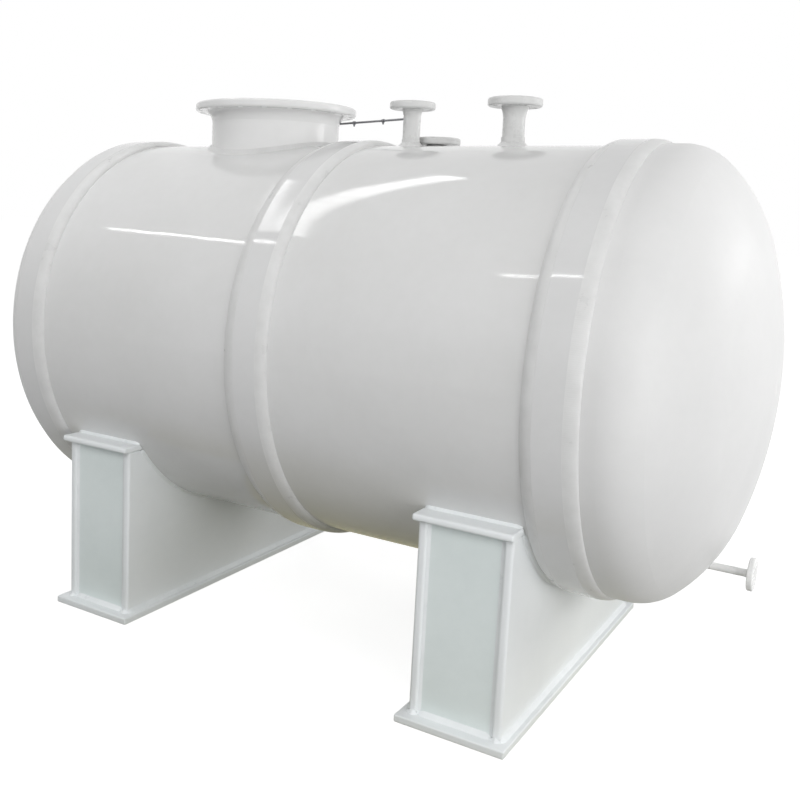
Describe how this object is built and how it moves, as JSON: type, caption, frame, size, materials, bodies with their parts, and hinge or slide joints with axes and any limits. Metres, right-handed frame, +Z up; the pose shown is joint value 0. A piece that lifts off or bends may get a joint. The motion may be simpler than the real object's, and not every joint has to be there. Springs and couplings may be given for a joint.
{
  "type": "vacuum tank",
  "caption": "Horizontal welded plastic vacuum tank with dished ends, raised bands, a flanged manway and nozzles on top, standing on box saddles.",
  "frame": {"origin": "centre of the bounding box on the ground, under the middle of the tank", "axes": "+X along the tank to the drain end, +Y to the back, +Z up"},
  "size_m": [2.685, 1.4806, 1.949],
  "materials": {
    "tank_plastic": "glossy white polypropylene sheet",
    "weld_bead": "extruded white weld bead",
    "saddle_plastic": "pale grey polypropylene plate, satin",
    "steel_rod": "drawn stainless rod"
  },
  "bodies": {
    "root": {"shell_left_upper": "tank_plastic", "shell_left_lower": "tank_plastic", "shell_right_upper": "tank_plastic", "shell_right_lower": "tank_plastic", "head_left": "tank_plastic", "head_right": "tank_plastic", "band_left": "tank_plastic", "band_mid": "tank_plastic", "band_right": "tank_plastic", "weld_left_outer": "weld_bead", "weld_left_inner": "weld_bead", "weld_mid_left": "weld_bead", "weld_mid_right": "weld_bead", "weld_right_inner": "weld_bead", "weld_right_outer": "weld_bead", "manway_neck": "tank_plastic", "manway_flange": "tank_plastic", "manway_weld": "weld_bead", "vent_neck": "tank_plastic", "vent_hub": "tank_plastic", "vent_flange": "tank_plastic", "gauge_neck": "tank_plastic", "gauge_flange": "tank_plastic", "fill_neck": "tank_plastic", "fill_hub": "tank_plastic", "fill_flange": "tank_plastic", "drain_neck": "tank_plastic", "drain_flange": "tank_plastic", "tie_rod": "steel_rod", "saddle_left_base": "saddle_plastic", "saddle_left_web_outer": "saddle_plastic", "saddle_left_web_inner": "saddle_plastic", "saddle_left_plate_front": "saddle_plastic", "saddle_left_plate_back": "saddle_plastic", "saddle_left_cap_front": "saddle_plastic", "saddle_left_cap_back": "saddle_plastic", "saddle_right_base": "saddle_plastic", "saddle_right_web_outer": "saddle_plastic", "saddle_right_web_inner": "saddle_plastic", "saddle_right_plate_front": "saddle_plastic", "saddle_right_plate_back": "saddle_plastic", "saddle_right_cap_front": "saddle_plastic", "saddle_right_cap_back": "saddle_plastic"}
  },
  "joints": []
}
